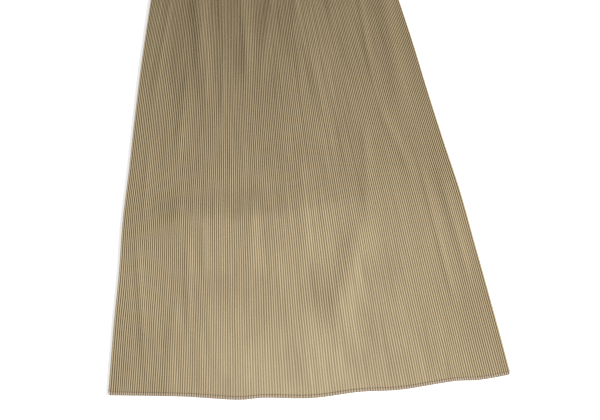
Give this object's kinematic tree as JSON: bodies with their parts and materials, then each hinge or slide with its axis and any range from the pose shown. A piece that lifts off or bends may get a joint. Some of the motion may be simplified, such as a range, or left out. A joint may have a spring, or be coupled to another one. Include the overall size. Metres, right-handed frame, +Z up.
{
  "type": "pleated skirt",
  "caption": "Midi skirt in fine accordion pleats with a narrow turned hem and an elastic waistband, laid flat on its back.",
  "frame": {"origin": "middle of the skirt's footprint, on the surface that it lies on", "axes": "+X across the skirt towards its right edge as seen from above, +Y from the hem to the waist, +Z up from the surface through the back panel and the front panel"},
  "size_m": [0.624, 0.772, 0.0096],
  "materials": {
    "pleated_cloth": "khaki polyester cloth with a soft sheen, heat set in accordion pleats",
    "waistband_cloth": "the same khaki cloth, unpleated and gathered by the elastic inside it"
  },
  "bodies": {
    "root": {"front_panel": "pleated_cloth", "back_panel": "pleated_cloth", "waistband_front": "waistband_cloth", "waistband_back": "waistband_cloth"}
  },
  "joints": []
}
